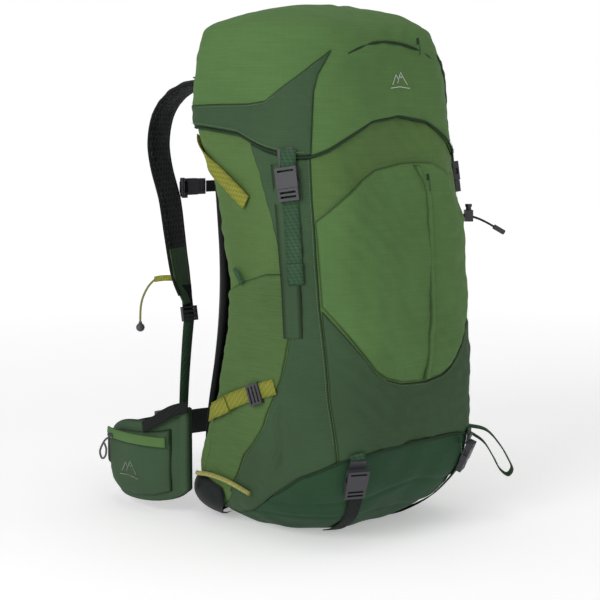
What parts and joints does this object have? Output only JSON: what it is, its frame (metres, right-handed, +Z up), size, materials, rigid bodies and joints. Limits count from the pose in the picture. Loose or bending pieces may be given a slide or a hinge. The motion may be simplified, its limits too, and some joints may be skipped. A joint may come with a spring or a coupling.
{
  "type": "hiking backpack",
  "caption": "Framed hiking backpack with hinged lid, front pocket, padded harness, hip wings and side-release buckles.",
  "frame": {"origin": "on the floor under the pack's centre line, on the flat face that the pack stands on", "axes": "+X to the right seen from the front, -Y the front, +Y the wearer's side, +Z up"},
  "size_m": [0.3626, 0.5317, 0.662],
  "materials": {
    "green_nylon": "matte",
    "collar_nylon": "matte",
    "dark_nylon": "matte",
    "stretch_green": "matte",
    "base_black": "satin",
    "zip_tape": "satin",
    "lime_webbing": "matte",
    "dark_webbing": "matte",
    "black_webbing": "matte",
    "lime_cord": "matte",
    "elastic_grey": "matte",
    "buckle_grey": "satin",
    "pull_plastic": "matte",
    "zip_metal": "satin",
    "spring_steel": "satin",
    "back_mesh_black": "matte",
    "foam_black": "matte",
    "strap_mesh": "matte"
  },
  "bodies": {
    "bag": {"main_bag": "green_nylon", "collar": "collar_nylon", "bottom_compartment": "dark_nylon", "base_panel": "base_black", "corner_panel_left": "dark_nylon", "corner_panel_right": "dark_nylon", "side_pocket_left": "stretch_green", "side_pocket_right": "stretch_green", "front_pocket": "green_nylon", "front_apron": "dark_nylon", "front_zip": "zip_tape", "bottom_zip": "zip_tape", "upper_side_straps": "lime_webbing", "lower_side_straps": "lime_webbing", "side_strap_locks": "buckle_grey", "lid_straps": "dark_webbing", "pad_straps": "dark_webbing", "pad_sockets": "buckle_grey", "ice_axe_loop": "dark_webbing", "haul_loop": "dark_webbing", "pole_tip_loop": "lime_cord", "bungee_near": "elastic_grey", "bungee_far": "elastic_grey", "bungee_barrel": "buckle_grey", "cord_lock_body": "buckle_grey", "frame_wire": "spring_steel", "back_mesh": "back_mesh_black", "lumbar_pad": "foam_black", "harness_webbing": "dark_webbing", "load_lifters": "dark_webbing"},
    "lid": {"lid_shell": "green_nylon", "lid_wings": "dark_nylon", "lid_sockets": "buckle_grey", "lid_zip": "zip_tape"},
    "lid_clip_left": {"lid_clip_left": "buckle_grey"},
    "lid_clip_right": {"lid_clip_right": "buckle_grey"},
    "pad_clip_left": {"pad_clip_left": "buckle_grey"},
    "pad_clip_right": {"pad_clip_right": "buckle_grey"},
    "front_slider": {"front_slider": "zip_metal"},
    "bottom_slider": {"bottom_slider": "zip_metal"},
    "lid_slider": {"lid_slider": "zip_metal"},
    "cord_lock_button": {"cord_lock_button": "buckle_grey"},
    "harness": {"shoulder_strap_left": "strap_mesh", "shoulder_strap_right": "strap_mesh", "strap_locks": "buckle_grey", "chest_strap": "black_webbing", "chest_socket": "buckle_grey", "pole_loop": "lime_cord", "pole_loop_ball": "pull_plastic"},
    "chest_clip": {"chest_clip": "buckle_grey"},
    "wing_left": {"hip_wing_left": "dark_nylon", "hip_pocket_left": "dark_nylon", "belt_webbing_left": "black_webbing", "belt_clip": "buckle_grey"},
    "wing_right": {"hip_wing_right": "dark_nylon", "hip_pocket_right": "dark_nylon", "belt_webbing_right": "black_webbing", "belt_socket": "buckle_grey"},
    "hip_pull_left": {"hip_pull_left": "pull_plastic"},
    "hip_pull_right": {"hip_pull_right": "pull_plastic"}
  },
  "joints": [
    {"name": "lid_hinge", "type": "hinge", "parent": "bag", "child": "lid", "pos_m": [0, 0.1107, 0.5645], "axis": [-1, 0, 0], "range_deg": [0, 65]},
    {"name": "lid_buckle_left", "type": "slide", "parent": "bag", "child": "lid_clip_left", "axis": [-0.0028, -0.1634, -0.9866], "range_m": [0, 0.022]},
    {"name": "lid_buckle_right", "type": "slide", "parent": "bag", "child": "lid_clip_right", "axis": [0.0028, -0.1634, -0.9866], "range_m": [0, 0.022]},
    {"name": "pad_buckle_left", "type": "slide", "parent": "bag", "child": "pad_clip_left", "axis": [0.1635, 0.3477, -0.9233], "range_m": [0, 0.022]},
    {"name": "pad_buckle_right", "type": "slide", "parent": "bag", "child": "pad_clip_right", "axis": [-0.1635, 0.3477, -0.9233], "range_m": [0, 0.022]},
    {"name": "front_zip_slide", "type": "slide", "parent": "bag", "child": "front_slider", "axis": [0, -0.1098, -0.994], "range_m": [0, 0.2]},
    {"name": "bottom_zip_slide", "type": "slide", "parent": "bag", "child": "bottom_slider", "axis": [-1, 0, 0], "range_m": [0, 0.145]},
    {"name": "lid_zip_slide", "type": "slide", "parent": "lid", "child": "lid_slider", "axis": [-1, 0, 0], "range_m": [0, 0.09]},
    {"name": "cord_lock_press", "type": "slide", "parent": "bag", "child": "cord_lock_button", "axis": [0, 0, -1], "range_m": [0, 0.004], "stiffness_N_per_m": 400},
    {"name": "harness_swing", "type": "hinge", "parent": "bag", "child": "harness", "pos_m": [0, 0.118, 0.552], "axis": [1, 0, 0], "range_deg": [0, 25], "deforming": ["harness_webbing", "load_lifters"]},
    {"name": "chest_buckle", "type": "slide", "parent": "harness", "child": "chest_clip", "axis": [1, 0, 0], "range_m": [0, 0.022]},
    {"name": "wing_left_swing", "type": "hinge", "parent": "bag", "child": "wing_left", "pos_m": [-0.148, 0.134, 0.08], "axis": [0, 0, 1], "range_deg": [0, 40]},
    {"name": "wing_right_swing", "type": "hinge", "parent": "bag", "child": "wing_right", "pos_m": [0.148, 0.134, 0.08], "axis": [0, 0, -1], "range_deg": [0, 40]},
    {"name": "hip_zip_left", "type": "slide", "parent": "wing_left", "child": "hip_pull_left", "axis": [-0.2201, -0.9755, 0], "range_m": [0, 0.03]},
    {"name": "hip_zip_right", "type": "slide", "parent": "wing_right", "child": "hip_pull_right", "axis": [0.2201, -0.9755, 0], "range_m": [0, 0.03]}
  ]
}
